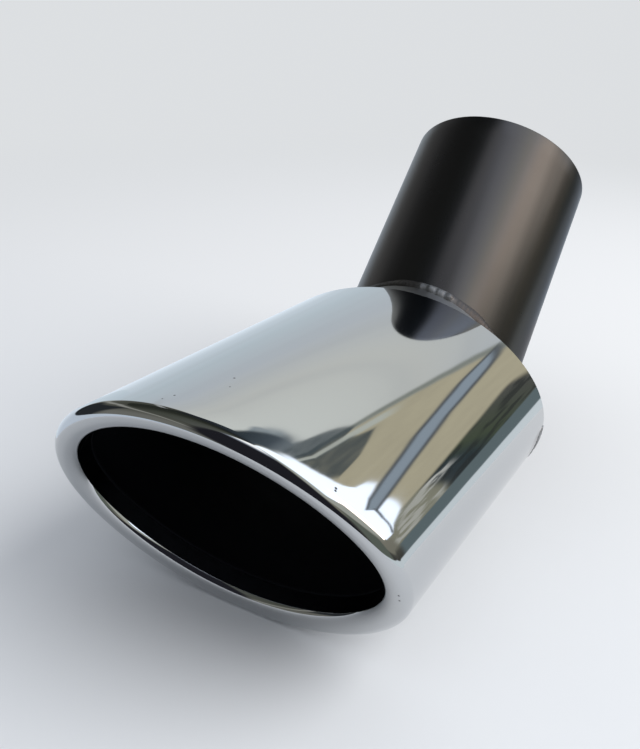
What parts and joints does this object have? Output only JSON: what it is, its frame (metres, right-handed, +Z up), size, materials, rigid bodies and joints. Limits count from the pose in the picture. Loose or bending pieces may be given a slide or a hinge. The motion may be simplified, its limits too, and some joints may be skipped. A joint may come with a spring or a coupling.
{
  "type": "exhaust tip",
  "caption": "Polished oval slash-cut exhaust tip with a rolled lip and a dark round inlet pipe that meets it at an angle.",
  "frame": {"origin": "centre of the inlet pipe's open end", "axes": "+Y along the shell from its mouth to its rear, +Z up, +X to the right seen from the mouth; the inlet's axis points half way between +Y and +Z"},
  "size_m": [0.0934, 0.203, 0.1074],
  "materials": {
    "shell_polish": "mirror polished outside, matt black inside",
    "pipe_coat": "dark satin coat",
    "stub_steel": "satin",
    "plate_steel": "plain sheet",
    "weld_metal": "rippled weld"
  },
  "bodies": {
    "root": {"outer_shell": "shell_polish", "inlet_stub": "stub_steel", "inlet_pipe": "pipe_coat", "mitre_weld": "weld_metal", "right_closing_plate": "plate_steel", "left_closing_plate": "plate_steel", "stub_weld": "weld_metal", "right_rim_weld": "weld_metal", "left_rim_weld": "weld_metal"}
  },
  "joints": []
}
